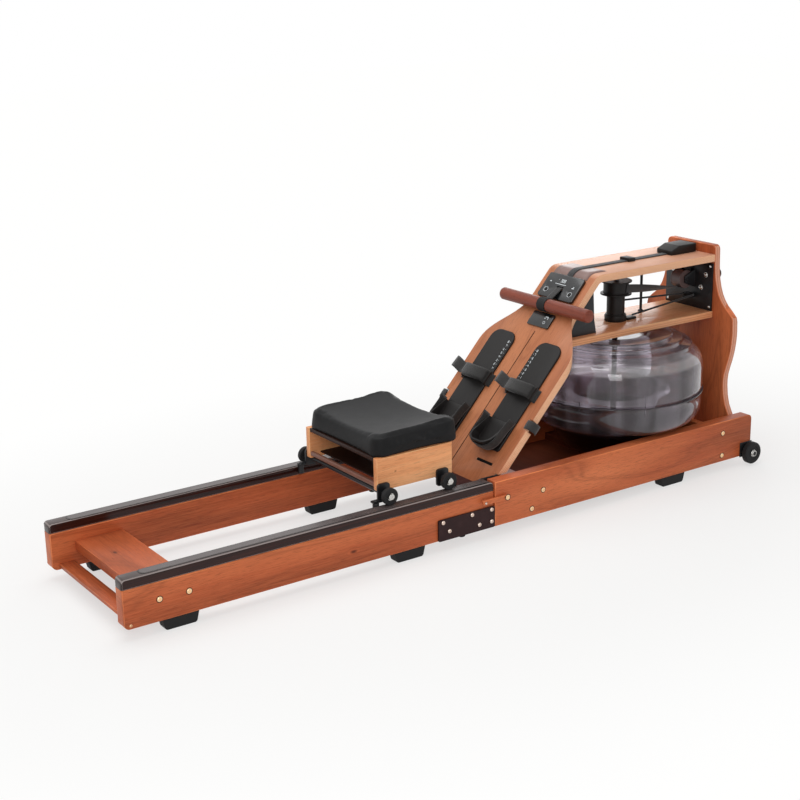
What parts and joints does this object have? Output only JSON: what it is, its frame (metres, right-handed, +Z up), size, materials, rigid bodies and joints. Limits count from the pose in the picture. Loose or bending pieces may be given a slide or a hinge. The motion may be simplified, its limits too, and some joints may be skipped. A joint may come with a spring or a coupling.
{
  "type": "water rowing machine",
  "caption": "Wooden rowing machine with folding rear rails, a wheeled seat, a sloping foot board, a strap handle and a clear water tank with a turning paddle.",
  "frame": {"origin": "on the floor under the middle of the machine's length and width", "axes": "+X runs from the rear end of the rails towards the tank end, +Z is up, +Y is the side that the nodes call left, away from the picture's viewer"},
  "size_m": [2.125, 0.544, 0.668],
  "materials": {
    "board_wood": "satin oiled hardwood, laminated",
    "pale_wood": "satin oiled hardwood, lighter inner boards",
    "handle_wood": "satin dark stained hardwood",
    "cap_gloss": "glossy dark brown running surface",
    "joint_steel": "satin dark maroon coat",
    "black_steel": "satin black coat",
    "black_plastic": "moulded, fine texture",
    "panel_gloss": "glossy black",
    "rubber": "matt black",
    "webbing": "black woven strap and cord",
    "cushion_cover": "dark grey grained cover over foam",
    "brown_plastic": "mauve brown",
    "tank_clear": "clear polished shell",
    "water_tint": "still tinted water"
  },
  "bodies": {
    "front_frame": {"front_board_right": "board_wood", "front_board_left": "board_wood", "foot_brace": "pale_wood", "end_brace": "pale_wood", "tank_cradle": "pale_wood", "footboard": "board_wood", "shelf": "pale_wood", "upright": "board_wood", "gusset_bracket": "black_steel", "drive_plate": "joint_steel", "shaft_bearing": "black_steel", "console_panel": "panel_gloss", "lower_panel": "panel_gloss", "footplate_right": "black_plastic", "footplate_left": "black_plastic", "toe_strap_right": "webbing", "toe_strap_left": "webbing", "tank_bowl": "tank_clear", "tank_dome": "tank_clear", "water": "water_tint", "drive_strap": "webbing", "bungee_cord": "webbing", "fairlead": "black_plastic", "top_housing": "black_plastic", "wheel_bracket_right": "black_steel", "wheel_bracket_left": "black_steel", "hinge_ear_right": "black_steel", "hinge_ear_left": "black_steel"},
    "rear_rails": {"rail_right": "board_wood", "rail_left": "board_wood", "cap_right": "cap_gloss", "cap_left": "cap_gloss", "rear_cross_board": "board_wood", "rear_stretcher": "board_wood", "splice_plate_right": "joint_steel", "splice_plate_left": "joint_steel", "joint_plate": "black_steel"},
    "seat": {"seat_cushion": "cushion_cover", "seat_frame": "board_wood", "seat_truck_rear": "black_steel", "seat_truck_front": "black_steel"},
    "handle": {"handle_grip": "handle_wood", "handle_wrap": "rubber", "pull_strap": "webbing"},
    "seat_wheel_rear_right": {"seat_wheel_rear_right": "black_plastic"},
    "seat_wheel_rear_left": {"seat_wheel_rear_left": "black_plastic"},
    "seat_wheel_front_right": {"seat_wheel_front_right": "black_plastic"},
    "seat_wheel_front_left": {"seat_wheel_front_left": "black_plastic"},
    "strap_spool": {"strap_spool": "black_plastic"},
    "strap_roller": {"strap_roller": "brown_plastic"},
    "bungee_pulley": {"bungee_pulley": "black_plastic"},
    "impeller": {"impeller": "black_steel"},
    "heel_cup_right": {"heel_cup_right": "black_plastic"},
    "heel_cup_left": {"heel_cup_left": "black_plastic"},
    "button_right": {"button_right": "panel_gloss"},
    "button_left": {"button_left": "panel_gloss"},
    "latch_right": {"latch_right": "board_wood"},
    "latch_left": {"latch_left": "board_wood"},
    "transport_wheel_right": {"transport_wheel_right": "rubber"},
    "transport_wheel_left": {"transport_wheel_left": "rubber"}
  },
  "joints": [
    {"name": "fold_hinge", "type": "hinge", "parent": "front_frame", "child": "rear_rails", "pos_m": [0.0215, 0, 0.146], "axis": [0, 1, 0], "range_deg": [0, 40]},
    {"name": "seat_slide", "type": "slide", "parent": "rear_rails", "child": "seat", "axis": [1, 0, 0], "range_m": [-0.65, 0]},
    {"name": "seat_wheel_rear_right_turn", "type": "hinge", "parent": "seat", "child": "seat_wheel_rear_right", "pos_m": [-0.2895, -0.2105, 0.1825], "axis": [0, 1, 0], "range_deg": [-1620, 0]},
    {"name": "seat_wheel_rear_left_turn", "type": "hinge", "parent": "seat", "child": "seat_wheel_rear_left", "pos_m": [-0.2895, 0.2105, 0.1825], "axis": [0, 1, 0], "range_deg": [-1620, 0]},
    {"name": "seat_wheel_front_right_turn", "type": "hinge", "parent": "seat", "child": "seat_wheel_front_right", "pos_m": [-0.0985, -0.2105, 0.1825], "axis": [0, 1, 0], "range_deg": [-1620, 0]},
    {"name": "seat_wheel_front_left_turn", "type": "hinge", "parent": "seat", "child": "seat_wheel_front_left", "pos_m": [-0.0985, 0.2105, 0.1825], "axis": [0, 1, 0], "range_deg": [-1620, 0]},
    {"name": "handle_slide", "type": "slide", "parent": "front_frame", "child": "handle", "axis": [-1, 0, 0], "range_m": [0, 1.1], "deforming": ["pull_strap"]},
    {"name": "spool_turn", "type": "hinge", "parent": "front_frame", "child": "strap_spool", "pos_m": [0.6855, 0, 0.5], "axis": [0, 0, 1], "range_deg": [0, 1610]},
    {"name": "roller_turn", "type": "hinge", "parent": "front_frame", "child": "strap_roller", "pos_m": [0.9582, 0, 0.555], "axis": [0, 1, 0], "range_deg": [-2155, 0]},
    {"name": "pulley_turn", "type": "hinge", "parent": "front_frame", "child": "bungee_pulley", "pos_m": [0.9672, -0.02, 0.505], "axis": [0, 0, 1], "range_deg": [0, 1355]},
    {"name": "impeller_turn", "type": "hinge", "parent": "front_frame", "child": "impeller", "pos_m": [0.6855, 0, 0.16], "axis": [0, 0, 1], "continuous": true},
    {"name": "heel_right_slide", "type": "slide", "parent": "front_frame", "child": "heel_cup_right", "axis": [0.6756, 0, 0.7373], "range_m": [-0.03, 0.06]},
    {"name": "heel_left_slide", "type": "slide", "parent": "front_frame", "child": "heel_cup_left", "axis": [0.6756, 0, 0.7373], "range_m": [-0.03, 0.06]},
    {"name": "button_right_press", "type": "slide", "parent": "front_frame", "child": "button_right", "axis": [0.7373, 0, -0.6756], "range_m": [0, 0.001], "stiffness_N_per_m": 400},
    {"name": "button_left_press", "type": "slide", "parent": "front_frame", "child": "button_left", "axis": [0.7373, 0, -0.6756], "range_m": [0, 0.001], "stiffness_N_per_m": 400},
    {"name": "latch_right_turn", "type": "hinge", "parent": "front_frame", "child": "latch_right", "pos_m": [0.0685, -0.2491, 0.111], "axis": [0, 1, 0], "range_deg": [0, 80]},
    {"name": "latch_left_turn", "type": "hinge", "parent": "front_frame", "child": "latch_left", "pos_m": [0.0685, 0.2491, 0.111], "axis": [0, 1, 0], "range_deg": [0, 80]},
    {"name": "transport_wheel_right_turn", "type": "hinge", "parent": "front_frame", "child": "transport_wheel_right", "pos_m": [1.0285, -0.2572, 0.039], "axis": [0, 1, 0], "continuous": true},
    {"name": "transport_wheel_left_turn", "type": "hinge", "parent": "front_frame", "child": "transport_wheel_left", "pos_m": [1.0285, 0.2572, 0.039], "axis": [0, 1, 0], "continuous": true}
  ],
  "couplings": [
    {"joint": "seat_wheel_rear_right_turn", "follows": "seat_slide", "rad_per_m": 43.478},
    {"joint": "seat_wheel_rear_left_turn", "follows": "seat_slide", "rad_per_m": 43.478},
    {"joint": "seat_wheel_front_right_turn", "follows": "seat_slide", "rad_per_m": 43.478},
    {"joint": "seat_wheel_front_left_turn", "follows": "seat_slide", "rad_per_m": 43.478},
    {"joint": "spool_turn", "follows": "handle_slide", "rad_per_m": 25.5},
    {"joint": "roller_turn", "follows": "handle_slide", "rad_per_m": -34.1},
    {"joint": "pulley_turn", "follows": "handle_slide", "rad_per_m": 21.4}
  ]
}
